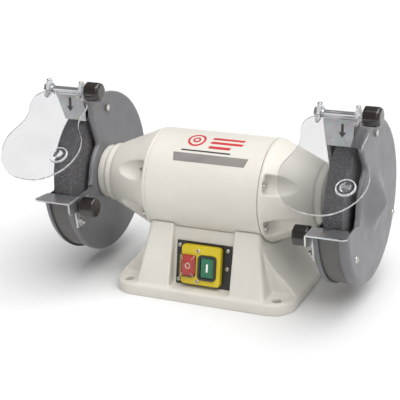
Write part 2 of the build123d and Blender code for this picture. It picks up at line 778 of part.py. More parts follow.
for side_name, side in SIDES.items():
    centre = side * shield_assembly_centre

    with BuildPart() as spark_deflector:
        # hanging sheet, leaning forward towards its lower edge
        with BuildSketch(across_x(centre - 25.8)):
            y_top, z_top = deflector_top
            y_low, z_low = deflector_foot
            Polygon(
                (y_top, z_top),
                (y_top + deflector_sheet, z_top),
                (y_low + deflector_sheet, z_low),
                (y_low, z_low),
                align=None,
            )
        extrude(amount=25.8 + tab_face)
        # the outline of the sheet steps in where it passes the rim of the outer cover
        with BuildSketch(Plane.XZ.offset(30)):
            with Locations((centre, 0)):
                if side < 0:
                    Polygon(
                        (-25.8, z_top), (-25.8, z_top - 3), (-10.3, z_low),
                        (tab_face, z_low), (tab_face, z_low + 14), (14.6, z_low + 20), (14.6, z_top),
                        align=None,
                    )
                else:
                    Polygon(
                        (-25.8, z_top), (-25.8, z_top - 16), (-22, z_low), (tab_face, z_low),
                        (tab_face, z_low + 1.7), (10, z_low + 5.4), (10, rim_top + 2), (14.6, rim_top + 6),
                        (14.6, z_top),
                        align=None,
                    )
        extrude(amount=30, mode=Mode.INTERSECT)
        # cheeks that carry the rod
        for cheek in (cheek_left, cheek_right):
            with BuildSketch(across_x(centre + cheek[0])):
                with Locations((rod_y, rod_z)):
                    Circle(6.2)
                with BuildLine():
                    Polyline(
                        (rod_y, rod_z + 6.2),
                        (y_top + 0.6, rod_z + 2.0),
                        (y_top - 0.4, rod_z - 10),
                        (rod_y, rod_z - 6.2),
                        close=True,
                    )
                make_face()
            extrude(amount=deflector_sheet)
        # tab that runs back inside the guard cover, with its adjusting slot
        with BuildSketch(across_shaft(centre + tab_face)):
            with BuildLine():
                Polyline(
                    (-44.2, 81.0),
                    (-34, 85.0),
                    (-14, 87.8),
                    (14, 87.8),
                    (14, 73),
                    (-8, 73),
                    (-30, 77.5),
                    (-43.8, 81.0),
                    close=True,
                )
            make_face()
            with Locations((deflector_bolt[0], deflector_bolt[1] - deflector_travel / 2)):
                SlotOverall(deflector_travel + 4.8, 4.8, rotation=90, mode=Mode.SUBTRACT)
        extrude(amount=-deflector_sheet)
        with Locations(Location((centre, rod_y, rod_z), (0, 90, 0))):
            Cylinder(rod_radius + 0.02, 100, mode=Mode.SUBTRACT)
    write(spark_deflector, f"spark_deflector_{side_name}")

    with BuildPart() as shield_rod:
        with BuildSketch(across_x(centre - 33.5, rod_y, rod_z)):
            Circle(rod_radius)
        extrude(amount=33.5 + 40)
        with BuildSketch(across_x(centre - 34.5, rod_y, rod_z)):
            RegularPolygon(6.2, 6)
        extrude(amount=3.8)
    write(shield_rod, f"shield_rod_{side_name}")

    sheet_plane = Plane(
        origin=(centre, rod_y, rod_z), x_dir=(1, 0, 0), z_dir=shield_normal
    )
    with BuildPart() as eye_shield:
        with BuildSketch(sheet_plane.offset(-shield_thickness / 2)):
            with BuildLine():
                Spline(*[(u, -v) for u, v in shield_outline])
                Polyline((22.5, -15.5), (20.5, -7.5), (-35, -7.5))
            make_face()
        extrude(amount=shield_thickness)
        with BuildSketch(sheet_plane.offset(shield_thickness / 2)):
            with Locations((31, -104)):
                Circle(11.5)
        extrude(amount=1.6, taper=35)
        # ears that hang on the rod
        for ear in (ear_left, ear_right):
            with BuildSketch(across_x(centre + ear[0], rod_y, rod_z)):
                Circle(7.0)
                with BuildLine():
                    down = (14 * shield_plane_dir[1], 14 * shield_plane_dir[2])
                    Polyline(
                        (-7, 0),
                        (-5, 10.5),
                        (3, 10.5),
                        (6.5, 2),
                        (3, -6.5),
                        (down[0] + 2, down[1] - 3),
                        (down[0] - 2, down[1] + 3),
                        close=True,
                    )
                make_face()
                Circle(rod_radius + running_gap, mode=Mode.SUBTRACT)
            extrude(amount=ear_thickness)
    write(eye_shield, f"eye_shield_{side_name}")

    with BuildPart() as eye_shield_screws:
        for ear in (ear_left, ear_right):
            with BuildSketch(Plane((centre + (ear[0] + ear[1]) / 2, rod_y - 1, rod_z + 10.55))):
                Circle(3.0)
            extrude(amount=2.0)
    write(eye_shield_screws, f"eye_shield_screws_{side_name}")

    with BuildPart() as shield_knob:
        with BuildSketch(across_x(centre + 23, rod_y, rod_z)):
            RegularPolygon(knob_radius, 8)
        extrude(amount=20.5)
        fillet(shield_knob.edges().filter_by(Axis.X), radius=3)
        fillet(shield_knob.faces().sort_by(Axis.X)[-1].edges(), radius=4)
        fillet(shield_knob.faces().sort_by(Axis.X)[0].edges(), radius=2.5)
        with BuildSketch(across_x(centre + 22, rod_y, rod_z)):
            Circle(rod_radius + running_gap)
        extrude(amount=18.6, mode=Mode.SUBTRACT)
    write(shield_knob, f"shield_knob_{side_name}")

with BuildPart() as deflector_bolts:
    for side in SIDES.values():
        cover_out = -inner_cover_plane if side < 0 else outer_cover_plane
        bolt_y, bolt_z = deflector_bolt
        with BuildSketch(across_shaft(cover_out + 0.05)):
            with Locations((bolt_y, bolt_z)):
                RegularPolygon(4.6, 6)
        extrude(amount=3)
        with BuildSketch(across_shaft(cover_out + 1)):
            with Locations((bolt_y, bolt_z)):
                Circle(2.0)
        extrude(amount=-sheet - tab_spacer - deflector_sheet - 3.4)
        with BuildSketch(across_shaft(cover_out - sheet - tab_spacer - deflector_sheet - 0.4)):
            with Locations((bolt_y, bolt_z)):
                RegularPolygon(4.2, 6)
        extrude(amount=-1.9)
        with BuildSketch(across_shaft(cover_out - sheet - 0.02)):
            with Locations((bolt_y, bolt_z)):
                Circle(4.4)
        extrude(amount=-tab_spacer + 0.1)
write(deflector_bolts, "deflector_bolts")


# ---- tool rests ---------------------------------------------------------------------------
flange_slot_centre = rest_knob_y + rest_travel / 2
flange_slot_length = rest_travel + 2 * knob_stud_radius + 1.0
flange_back = -66.5
bracket_inner = rest_inner + rest_thickness + 0.3

for side_name, side in SIDES.items():
    with BuildPart() as tool_rest:
        # flat table with one corner cut back at its outer end
        with BuildSketch(Plane.XY.offset(rest_top - rest_thickness)):
            Polygon(
                (side * rest_inner, rest_front),
                (side * (rest_outer - 4), rest_front),
                (side * rest_outer, rest_front + 4),
                (side * (rest_outer - 5.5), rest_back),
                (side * rest_inner, rest_back),
                align=None,
            )
        extrude(amount=rest_thickness)
        # flange turned down on the motor side, with the adjusting slot
        with BuildSketch(across_x(side * rest_inner)):
            with BuildLine():
                low_z = rest_top - rest_flange_drop
                Polyline(
                    (rest_front, rest_top),
                    (rest_front, low_z + 4),
                    (rest_front + 4, low_z),
                    (flange_back, low_z - 2),
                    (flange_back, low_z + 11),
                    (rest_back + 3, rest_top - 3),
                    (rest_back, rest_top),
                    close=True,
                )
            make_face()
            with Locations((flange_slot_centre, rest_knob_z)):
                SlotOverall(flange_slot_length, 2 * knob_stud_radius + 0.6, mode=Mode.SUBTRACT)
        extrude(amount=side * rest_thickness)
        # rounded bend between the table and its flange
        bend = tool_rest.edges().filter_by(Axis.Y).group_by(Axis.Z)[-1].sort_by(Axis.X)
        fillet(bend[0] if side > 0 else bend[-1], radius=rest_thickness)
    write(tool_rest, f"tool_rest_{side_name}")

    with BuildPart() as rest_bracket:
        with BuildSketch(across_x(side * bracket_inner)):
            with BuildLine():
                Polyline(
                    (rest_knob_y - 10, rest_knob_z + 7),
                    (rest_knob_y + 10, rest_knob_z + 7),
                    (rest_knob_y + 10, rest_knob_z - 6),
                    (rest_knob_y + 7, rest_knob_z - 27),
                    (rest_knob_y - 7, rest_knob_z - 27),
                    (rest_knob_y - 10, rest_knob_z - 6),
                    close=True,
                )
            make_face()
            with Locations((rest_knob_y, rest_knob_z)):
                Circle(knob_stud_radius + running_gap, mode=Mode.SUBTRACT)
            with Locations((bracket_bolt[0], shaft_height + bracket_bolt[1])):
                Circle(3.1, mode=Mode.SUBTRACT)
        extrude(amount=side * (inner_cover_plane - bracket_inner - 0.05))
    write(rest_bracket, f"rest_bracket_{side_name}")

    with BuildPart() as rest_knob:
        with BuildSketch(across_x(side * 128.6, rest_knob_y, rest_knob_z)):
            RegularPolygon(knob_radius + 0.6, 8)
        extrude(amount=side * 20)
        fillet(rest_knob.edges().filter_by(Axis.X), radius=3)
        fillet(rest_knob.faces().sort_by(Axis.X)[0].edges(), radius=2.5)
        fillet(rest_knob.faces().sort_by(Axis.X)[-1].edges(), radius=2.5)
        with BuildSketch(across_x(side * 148, rest_knob_y, rest_knob_z)):
            Circle(5)
        extrude(amount=side * 2.3)
        with BuildSketch(across_x(side * 149, rest_knob_y, rest_knob_z)):
            Circle(knob_stud_radius)
        extrude(amount=side * (inner_cover_plane - 149 - 0.3))
    write(rest_knob, f"rest_knob_{side_name}")

with BuildPart() as rest_bracket_bolts:
    for side in SIDES.values():
        bolt_y, bolt_z = bracket_bolt
        with BuildSketch(across_shaft(side * (bracket_inner - 0.05))):
            with Locations((bolt_y, bolt_z)):
                RegularPolygon(5.4, 6)
        extrude(amount=-side * 3.5)
        with BuildSketch(across_shaft(side * (bracket_inner - 6.5))):
            with Locations((bolt_y, bolt_z)):
                Circle(2.9)
        extrude(amount=side * 12.5)
write(rest_bracket_bolts, "rest_bracket_bolts")


# ---- switch -------------------------------------------------------------------------------
stop_u, stop_v = -16.5, 0.2
stop_length, stop_height = 18.0, 26.0
start_u, start_v = 8.0, -0.5
start_length, start_height = 17.0, 25.0
surround_length, surround_height = 24.0, 31.0
face_screw_spots = ((-4.6, 19.4), (-4.6, -19.0))
plate_screw_spots = ((-33.0, 22.5), (-33.0, -20.5), (31.0, 22.5), (31.0, 0.0))

with BuildPart() as switch_plate:
    with BuildSketch(switch_front.offset(-switch_plate_thickness + 0.05)):
        with Locations((0, switch_plate_v)):
            Rectangle(switch_plate_length, switch_plate_height)
        with Locations((switch_face_u, switch_face_v)):
            Rectangle(44, 40, mode=Mode.SUBTRACT)
        for spot in plate_screw_spots:
            with Locations(spot):
                Circle(2.0, mode=Mode.SUBTRACT)
    extrude(amount=switch_plate_thickness - 0.1)
write(switch_plate, "switch_plate")

with BuildPart() as switch_body:
    with BuildSketch(switch_front.offset(-38)):
        with Locations((switch_face_u, switch_face_v)):
            RectangleRounded(43, 39, 2)
    extrude(amount=37.6)
    with BuildSketch(switch_front.offset(-38)):
        with Locations((switch_face_u, switch_face_v)):
            with GridLocations(10, 26, 4, 2):
                Rectangle(0.8, 6.3)
    extrude(amount=-8)
write(switch_body, "switch_body")

with BuildPart() as switch_face:
    with BuildSketch(switch_front):
        with Locations((switch_face_u, switch_face_v)):
            RectangleRounded(switch_face_length, switch_face_height, 4.5)
    extrude(amount=switch_face_lift)
    fillet(switch_face.faces().sort_by(Axis.Y)[0].edges(), radius=1.2)
    with BuildSketch(switch_front):
        with Locations((switch_face_u, switch_face_v)):
            RectangleRounded(switch_face_length - 4, switch_face_height - 4, 2.5)
    extrude(amount=switch_face_lift - 2, mode=Mode.SUBTRACT)
    with BuildSketch(switch_front):
        with Locations((stop_u, stop_v)):
            RectangleRounded(stop_length + 2 * button_gap, stop_height + 2 * button_gap, 2)
        with Locations((start_u, start_v)):
            RectangleRounded(surround_length + 0.2, surround_height + 0.2, 5)
        for spot in face_screw_spots:
            with Locations(spot):
                Circle(1.7)
    extrude(amount=20, mode=Mode.SUBTRACT)
write(switch_face, "switch_face")

with BuildPart() as start_button_surround:
    with BuildSketch(switch_front.offset(3)):
        with Locations((start_u, start_v)):
            RectangleRounded(surround_length, surround_height, 5)
            RectangleRounded(
                start_length + 2 * button_gap, start_height + 2 * button_gap, 2, mode=Mode.SUBTRACT
            )
    extrude(amount=switch_face_lift - 3 + 2.0)
write(start_button_surround, "start_button_surround")

with BuildPart() as stop_button:
    with BuildSketch(switch_front.offset(button_travel + 0.4)):
        with Locations((stop_u, stop_v)):
            RectangleRounded(stop_length, stop_height, 1.6)
    extrude(amount=switch_face_lift + 1.0 - button_travel)
    with BuildSketch(switch_front.offset(switch_face_lift + 1.3)):
        with Locations((stop_u, stop_v)):
            RectangleRounded(stop_length, stop_height, 1.6)
    extrude(amount=4.2, taper=14)
write(stop_button, "stop_button")

with BuildPart() as start_button:
    with BuildSketch(switch_front.offset(button_travel + 0.4)):
        with Locations((start_u, start_v)):
            RectangleRounded(start_length, start_height, 1.6)
    extrude(amount=switch_face_lift - button_travel)
    fillet(start_button.faces().sort_by(Axis.Y)[0].edges(), radius=0.8)
write(start_button, "start_button")

with BuildPart() as switch_face_screws:
    with BuildSketch(switch_front.offset(switch_face_lift + 0.05)):
        for spot in face_screw_spots:
            with Locations(spot):
                Circle(2.6)
    extrude(amount=1.3)
    with BuildSketch(switch_front):
        for spot in face_screw_spots:
            with Locations(spot):
                Circle(1.5)
    extrude(amount=switch_face_lift + 0.5)
write(switch_face_screws, "switch_face_screws")

with BuildPart() as switch_plate_screws:
    with BuildSketch(switch_front.offset(0.02)):
        for spot in plate_screw_spots:
            with Locations(spot):
                Circle(2.8)
    extrude(amount=1.6)
    with BuildSketch(switch_front):
        for spot in plate_screw_spots:
            with Locations(spot):
                Circle(1.8)
    extrude(amount=0.5, both=True)
    with BuildSketch(switch_front.offset(0.1)):
        for spot in plate_screw_spots:
            with Locations(spot):
                Circle(1.8)
    extrude(amount=-switch_plate_thickness)
write(switch_plate_screws, "switch_plate_screws")


# ---- electrics inside the base ----------------------------------------------------------------
capacitor_radius = 16.0
capacitor_centre = (8.0, 30.0, 3.0 + 2.2 + capacitor_radius)

with BuildPart() as capacitor:
    with BuildSketch(across_x(capacitor_centre[0] - 33, capacitor_centre[1], capacitor_centre[2])):
        Circle(capacitor_radius)
    extrude(amount=66)
    fillet(capacitor.edges(), radius=1.5)
    for offset_y in (-5, 5):
        with BuildSketch(
            across_x(capacitor_centre[0] + 33, capacitor_centre[1] + offset_y, capacitor_centre[2])
        ):
            Rectangle(0.8, 6.3)
        extrude(amount=8)
write(capacitor, "capacitor")

with BuildPart() as capacitor_clip:
    with BuildSketch(across_x(capacitor_centre[0] - 8, capacitor_centre[1], capacitor_centre[2])):
        Circle(capacitor_radius + 1.6)
        Circle(capacitor_radius + seat_gap, mode=Mode.SUBTRACT)
        with Locations((0, capacitor_radius)):
            Rectangle(18, 14, mode=Mode.SUBTRACT)
    extrude(amount=16)
    with BuildSketch(Plane.XY.offset(3.1)):
        with Locations((capacitor_centre[0], capacitor_centre[1] - 10)):
            Rectangle(16, 42)
    extrude(amount=1.2)
    with BuildSketch(across_x(capacitor_centre[0] - 9, capacitor_centre[1], capacitor_centre[2])):
        Circle(capacitor_radius + seat_gap)
    extrude(amount=18, mode=Mode.SUBTRACT)
write(capacitor_clip, "capacitor_clip")

with BuildPart() as terminal_block:
    with Locations((58, 10, 3.1)):
        Box(16, 50, 12, align=(Align.CENTER, Align.CENTER, Align.MIN))
    with Locations((58, 10, 15.1)):
        with GridLocations(0, 10, 1, 5):
            Cylinder(2.6, 8, align=(Align.CENTER, Align.CENTER, Align.CENTER), mode=Mode.SUBTRACT)
write(terminal_block, "terminal_block")

with BuildPart() as cable_gland:
    with BuildSketch(gland_plane):
        RegularPolygon(12, 6)
    extrude(amount=6)
    with BuildSketch(gland_plane):
        Circle(9.5)
    extrude(amount=16)
    fillet(cable_gland.faces().sort_by(Axis.Y)[-1].edges(), radius=3)
    with BuildSketch(gland_plane.offset(-20)):
        Circle(8)
    extrude(amount=21)
    with BuildSketch(gland_plane.offset(-23)):
        Circle(4.5)
    extrude(amount=60, mode=Mode.SUBTRACT)
write(cable_gland, "cable_gland")
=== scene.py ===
import json
import math

import bmesh
import bpy
from mathutils import Matrix, Vector, noise


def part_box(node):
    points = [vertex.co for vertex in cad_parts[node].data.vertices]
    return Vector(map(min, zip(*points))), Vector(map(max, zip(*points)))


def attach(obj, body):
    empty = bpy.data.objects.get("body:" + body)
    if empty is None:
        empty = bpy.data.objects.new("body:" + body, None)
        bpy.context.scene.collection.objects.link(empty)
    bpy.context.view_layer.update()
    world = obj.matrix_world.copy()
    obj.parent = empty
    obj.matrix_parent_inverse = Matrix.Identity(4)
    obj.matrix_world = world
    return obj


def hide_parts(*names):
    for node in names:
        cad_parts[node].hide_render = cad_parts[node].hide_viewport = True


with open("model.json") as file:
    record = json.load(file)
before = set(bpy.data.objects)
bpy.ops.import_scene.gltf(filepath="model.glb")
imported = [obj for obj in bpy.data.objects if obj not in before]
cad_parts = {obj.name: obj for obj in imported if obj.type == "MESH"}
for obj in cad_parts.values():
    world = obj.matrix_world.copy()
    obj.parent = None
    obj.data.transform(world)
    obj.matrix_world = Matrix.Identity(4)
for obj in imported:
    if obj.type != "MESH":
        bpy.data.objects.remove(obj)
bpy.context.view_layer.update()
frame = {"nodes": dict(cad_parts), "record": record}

NODES = frame["nodes"]

SIDES = {"left": -1, "right": 1}


def centre_of(node):
    low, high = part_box(node)
    return (low + high) / 2


WHEEL_LOW, WHEEL_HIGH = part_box("wheel_right")
SHAFT_Z = (WHEEL_LOW.z + WHEEL_HIGH.z) / 2
WHEEL_R = (WHEEL_HIGH.z - WHEEL_LOW.z) / 2
HOUSING_LOW, HOUSING_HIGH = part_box("motor_housing")
HOUSING_R = (HOUSING_HIGH.z - HOUSING_LOW.z) / 2


# ---- camera -------------------------------------------------------------------------------
CAMERA_AZIMUTH = math.radians(25.63)
CAMERA_ELEVATION = math.radians(22.27)
CAMERA_ROLL = math.radians(-3.22)
CAMERA_TARGET = Vector((-0.02948, 0.0, 0.10033))
CAMERA_DISTANCE = 1.57042
CAMERA_LENS = 112.73
CAMERA_SENSOR = 36
CAMERA_FAR = 20


def place_camera():
    level = Vector((math.cos(CAMERA_AZIMUTH), math.sin(CAMERA_AZIMUTH), 0))
    forward = Vector((
        -math.sin(CAMERA_AZIMUTH) * math.cos(CAMERA_ELEVATION),
        math.cos(CAMERA_AZIMUTH) * math.cos(CAMERA_ELEVATION),
        -math.sin(CAMERA_ELEVATION),
    ))
    upright = level.cross(forward)
    cam_x = math.cos(CAMERA_ROLL) * level + math.sin(CAMERA_ROLL) * upright
    cam_y = -math.sin(CAMERA_ROLL) * level + math.cos(CAMERA_ROLL) * upright
    data = bpy.data.cameras.new("camera")
    data.sensor_width = CAMERA_SENSOR
    data.lens = CAMERA_LENS
    data.clip_end = CAMERA_FAR
    camera = bpy.data.objects.new("camera", data)
    rotation = Matrix((cam_x, cam_y, -forward)).transposed().to_4x4()
    camera.matrix_world = Matrix.Translation(CAMERA_TARGET - forward * CAMERA_DISTANCE) @ rotation
    bpy.context.scene.collection.objects.link(camera)
    bpy.context.scene.camera = camera


place_camera()
bpy.context.scene.view_settings.view_transform = "Standard"


# ---- material helpers -----------------------------------------------------------------------
MATERIALS = {}
# most of a noise texture lies between these values
NOISE_LOW = 0.3
NOISE_HIGH = 0.7
# the colour sockets of a mix node
MIX_UNDER = 6
MIX_OVER = 7
MIX_RESULT = 2


def rgb(r, g, b):
    """A colour given as 0-255 screen values."""
    out = []
    for c in (r, g, b):
        c = c / 255
        out.append(c / 12.92 if c <= 0.04045 else ((c + 0.055) / 1.055) ** 2.4)
    return (*out, 1.0)


class Shade:
    """One principled material with its node tree, built step by step and kept by its name."""

    def __init__(self, name):
        material = bpy.data.materials.new(name)
        material.use_nodes = True
        self.tree = material.node_tree
        self.shader = self.tree.nodes["Principled BSDF"]
        self.place = self.tree.nodes.new("ShaderNodeTexCoord").outputs["Object"]
        self.normal = None
        MATERIALS[name] = material

    def set(self, **values):
        for name, value in values.items():
            self.shader.inputs[name.replace("_", " ")].default_value = value
        return self

    def link(self, a, b):
        self.tree.links.new(a, b)

    def scaled(self, x, y, z):
        node = self.tree.nodes.new("ShaderNodeMapping")
        node.inputs["Scale"].default_value = (x, y, z)
        self.link(self.place, node.inputs["Vector"])
        return node.outputs["Vector"]

    def noise(self, scale, detail=3.0, rough=0.55, place=None):
        node = self.tree.nodes.new("ShaderNodeTexNoise")
        node.inputs["Scale"].default_value = scale
        node.inputs["Detail"].default_value = detail
        node.inputs["Roughness"].default_value = rough
        self.link(place or self.place, node.inputs["Vector"])
        return node.outputs["Fac"]

    def cells(self, scale, output="Distance", place=None):
        node = self.tree.nodes.new("ShaderNodeTexVoronoi")
        node.inputs["Scale"].default_value = scale
        self.link(place or self.place, node.inputs["Vector"])
        return node.outputs[output]

    def ramp(self, source, *stops):
        node = self.tree.nodes.new("ShaderNodeValToRGB")
        ramp = node.color_ramp
        ramp.elements[0].position, ramp.elements[0].color = stops[0]
        ramp.elements[1].position, ramp.elements[1].color = stops[-1]
        for position, color in stops[1:-1]:
            ramp.elements.new(position).color = color
        self.link(source, node.inputs["Fac"])
        return node.outputs["Color"]

    def spread(self, source, low, high):
        """A noise stretched to run from low to high."""
        node = self.tree.nodes.new("ShaderNodeMapRange")
        node.inputs["From Min"].default_value = NOISE_LOW
        node.inputs["From Max"].default_value = NOISE_HIGH
        node.inputs["To Min"].default_value = low
        node.inputs["To Max"].default_value = high
        self.link(source, node.inputs["Value"])
        return node.outputs["Result"]

    def blend(self, mode, share, under, over):
        node = self.tree.nodes.new("ShaderNodeMix")
        node.data_type = "RGBA"
        node.blend_type = mode
        node.inputs["Factor"].default_value = share
        self.link(under, node.inputs[MIX_UNDER])
        self.link(over, node.inputs[MIX_OVER])
        return node.outputs[MIX_RESULT]

    def color(self, source):
        self.link(source, self.shader.inputs["Base Color"])
        return self

    def rough(self, source):
        self.link(source, self.shader.inputs["Roughness"])
        return self

    def edges(self, radius):
        node = self.tree.nodes.new("ShaderNodeBevel")
        node.samples = 4
        node.inputs["Radius"].default_value = radius
        self.normal = node.outputs["Normal"]
        self.link(self.normal, self.shader.inputs["Normal"])
        return self

    def bump(self, source, strength, distance):
        node = self.tree.nodes.new("ShaderNodeBump")
        node.inputs["Strength"].default_value = strength
        node.inputs["Distance"].default_value = distance
        self.link(source, node.inputs["Height"])
        if self.normal:
            self.link(self.normal, node.inputs["Normal"])
        self.normal = node.outputs["Normal"]
        self.link(self.normal, self.shader.inputs["Normal"])
        return self


def paint(name, dark, light, rough, grain, depth, edge=0.0):
    """Baked paint over metal: slow colour drift, orange peel, uneven gloss."""
    s = Shade(name)
    s.color(s.ramp(s.noise(14, 4), (0.35, dark), (0.65, light)))
    s.rough(s.spread(s.noise(40, 3), rough - 0.06, rough + 0.08))
    if edge:
        s.edges(edge)
    s.bump(s.noise(grain, 4, 0.6), 0.35, depth)


def metal(name, dark, light, rough, stretch, edge):
    """Bare or plated metal with fine marks along one direction."""
    s = Shade(name)
    s.set(Metallic=1.0)
    lines = s.noise(60, 4, 0.6, s.scaled(*stretch))
    s.color(s.ramp(lines, (NOISE_LOW, dark), (NOISE_HIGH, light)))
    s.rough(s.spread(s.noise(45, 3), rough - 0.07, rough + 0.09))
    s.edges(edge)
    s.bump(lines, 0.15, 0.0002)


def plastic(name, dark, light, rough, edge=0.0, grain=900, depth=0.00008):
    """Moulded plastic, or a printed mark, with a fine grain."""
    s = Shade(name)
    s.color(s.ramp(s.noise(30, 3), (0.35, dark), (0.65, light)))
    s.rough(s.spread(s.noise(70, 2), rough - 0.04, rough + 0.06))
    if edge:
        s.edges(edge)
    s.bump(s.noise(grain, 3), 0.3, depth)
    return s


def clear(name, dark, light, rough, scales, strength, depth, detail=2, **values):
    """See-through plastic; scales are those of its colour, gloss and surface noise."""
    s = Shade(name)
    s.set(**values)
    tone, gloss, surface = scales
    s.color(s.ramp(s.noise(tone, detail), (NOISE_LOW, dark), (NOISE_HIGH, light)))
    s.rough(s.spread(s.noise(gloss, detail), *rough))
    s.bump(s.noise(surface, detail), strength, depth)


def zinc():
    """Galvanised sheet: a faint spangle over a slow drift of grey."""
    s = Shade("zinc_sheet")
    s.set(Metallic=0.9)
    drift = s.ramp(s.noise(22, 4), (NOISE_LOW, rgb(176, 177, 178)), (NOISE_HIGH, rgb(206, 207, 208)))
    s.color(s.blend("SOFT_LIGHT", 0.14, drift, s.cells(170, "Color")))
    s.rough(s.spread(s.noise(60, 3), 0.26, 0.42))
    s.edges(0.0006)
    s.bump(s.noise(260, 3), 0.15, 0.0002)


def abrasive():
    """Bonded grit: light and dark grains, almost without colour, over a pitted surface."""
    s = Shade("abrasive")
    grains = s.ramp(s.noise(520, 5, 0.7), (0.3, rgb(60, 57, 62)), (0.52, rgb(82, 78, 84)),
                    (0.72, rgb(124, 119, 124)))
    faded = s.tree.nodes.new("ShaderNodeHueSaturation")
    faded.inputs["Saturation"].default_value = 0.28
    s.link(s.blend("OVERLAY", 0.55, grains, s.cells(820, "Color")), faded.inputs["Color"])
    s.color(faded.outputs["Color"])
    s.rough(s.spread(s.noise(700, 3), 0.78, 0.98))
    s.bump(s.cells(820), 0.7, 0.0007)
    s.bump(s.noise(420, 5, 0.7), 0.5, 0.0008)


# ---- materials ------------------------------------------------------------------------------
paint("cream_paint", dark=rgb(203, 199, 190), light=rgb(210, 206, 198), rough=0.40,
      grain=420, depth=0.0004, edge=0.0012)
paint("cream_casting", dark=rgb(203, 199, 190), light=rgb(211, 207, 198), rough=0.44,
      grain=300, depth=0.0008)
paint("grey_paint", dark=rgb(100, 100, 103), light=rgb(108, 108, 111), rough=0.34,
      grain=500, depth=0.0003, edge=0.0009)
# a slightly lighter copy of the grey paint for the rolled edges: painted highlight
paint("grey_roll_highlight", dark=rgb(104, 104, 107), light=rgb(112, 112, 115), rough=0.20,
      grain=500, depth=0.0002)
# a darker copy of the grey paint for the guard bands: painted shade
paint("band_paint_shaded", dark=rgb(84, 82, 81), light=rgb(94, 92, 90), rough=0.42,
      grain=500, depth=0.0003, edge=0.0006)
zinc()
metal("zinc_fastener", dark=rgb(176, 174, 168), light=rgb(214, 212, 206), rough=0.28,
      stretch=(1, 1, 5), edge=0.0003)
metal("bright_steel", dark=rgb(205, 206, 208), light=rgb(230, 230, 231), rough=0.14,
      stretch=(0.4, 8, 8), edge=0.0004)
metal("machined_steel", dark=rgb(150, 150, 150), light=rgb(188, 187, 184), rough=0.33,
      stretch=(9, 1, 1), edge=0.0005)
abrasive()
plastic("blotter_paper", dark=rgb(66, 74, 60), light=rgb(84, 92, 74), rough=0.85,
        edge=0.0003, grain=500, depth=0.0002)
plastic("black_knob", dark=rgb(27, 21, 18), light=rgb(38, 30, 26), rough=0.20,
        grain=260, depth=0.0002).set(Coat_Weight=0.5, Coat_Roughness=0.12)
plastic("black_plate", dark=rgb(30, 27, 24), light=rgb(42, 38, 34), rough=0.42,
        edge=0.0004, grain=1200, depth=0.0001)
plastic("black_plastic", dark=rgb(30, 30, 31), light=rgb(44, 44, 45), rough=0.40,
        edge=0.0005, grain=1200, depth=0.0001)
plastic("yellow_plastic", dark=rgb(196, 172, 18), light=rgb(210, 188, 34), rough=0.34,
        edge=0.0006, depth=0.0001)
plastic("red_plastic", dark=rgb(196, 30, 20), light=rgb(214, 44, 30), rough=0.24,
        edge=0.0006).set(Coat_Weight=0.6, Coat_Roughness=0.08)
plastic("green_plastic", dark=rgb(20, 92, 62), light=rgb(30, 112, 76), rough=0.30,
        edge=0.0006).set(Coat_Weight=0.3, Coat_Roughness=0.15)
plastic("white_mark", dark=rgb(232, 232, 228), light=rgb(244, 244, 240), rough=0.42,
        grain=1500, depth=0.00004)
plastic("grey_mark", dark=rgb(120, 116, 113), light=rgb(132, 128, 124), rough=0.45,
        grain=1500, depth=0.00004)
plastic("red_mark", dark=rgb(176, 40, 46), light=rgb(192, 52, 56), rough=0.40,
        grain=1500, depth=0.00004)
plastic("dark_mark", dark=rgb(48, 47, 48), light=rgb(62, 61, 62), rough=0.45,
        grain=1500, depth=0.00004)
clear("clear_plastic", dark=rgb(231, 231, 232), light=rgb(238, 238, 239), rough=(0.02, 0.07),
      scales=(18, 50, 28), strength=0.10, depth=0.0006,
      Transmission_Weight=1.0, IOR=1.49, Base_Color=rgb(236, 236, 237))
clear("clear_cap", dark=rgb(240, 236, 232), light=rgb(247, 244, 241), rough=(0.02, 0.08),
      scales=(60, 90, 200), strength=0.1, depth=0.0001,
      Transmission_Weight=1.0, IOR=1.33)
# a lighter, half-clear copy of the clear plastic: a painted highlight for the shield's cut edges, the
# shield's ring bead and the stop cap's edges
clear("clear_edge_highlight", dark=rgb(226, 227, 228), light=rgb(246, 246, 247), rough=(0.18, 0.34),
      scales=(120, 160, 500), strength=0.2, depth=0.0001, detail=3,
      Transmission_Weight=0.45, IOR=1.49, Specular_IOR_Level=0.8)
metal("lamination", dark=rgb(96, 98, 102), light=rgb(134, 136, 140), rough=0.45,
      stretch=(40, 1, 1), edge=0.0003)
metal("copper_winding", dark=rgb(150, 78, 38), light=rgb(196, 112, 62), rough=0.35,
      stretch=(1, 14, 14), edge=0.0006)
plastic("capacitor_case", dark=rgb(176, 178, 180), light=rgb(196, 198, 200), rough=0.35,
        edge=0.0006)


def finish_node(node, key):
    for material_slot in NODES[node].material_slots:
        material_slot.material = MATERIALS[key]


for entry in frame["record"]["subparts"]:
    finish_node(entry["node"], entry["material_slot"])
# the guard bands get the darker grey copy: painted shade
for side_name in SIDES:
    finish_node(f"guard_band_{side_name}", "band_paint_shaded")


# ---- mesh helpers ---------------------------------------------------------------------------
BODY_OF = {
    node: body for body, members in frame["record"]["behaviour"]["bodies"].items() for node in members
}
ALONG_X = Vector((1, 0, 0))
CORNERS = ((1, 1), (-1, 1), (-1, -1), (1, -1))
BEAD_SIDES = 10
WELD_GAP = 0.00001


def piece_from(bm, name, key, body, replaces=(), smooth_angle=35):
    """Makes a finished mesh a piece of its own that rides on a body."""
    mesh = bpy.data.meshes.new(name)
    bmesh.ops.recalc_face_normals(bm, faces=bm.faces)
    bm.to_mesh(mesh)
    bm.free()
    obj = bpy.data.objects.new(name, mesh)
    bpy.context.scene.collection.objects.link(obj)
    mesh.materials.append(MATERIALS[key])
    mesh.shade_smooth()
    if smooth_angle:
        mesh.set_sharp_from_angle(angle=math.radians(smooth_angle))
    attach(obj, body)
    if replaces:
        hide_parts(*replaces)
    return obj


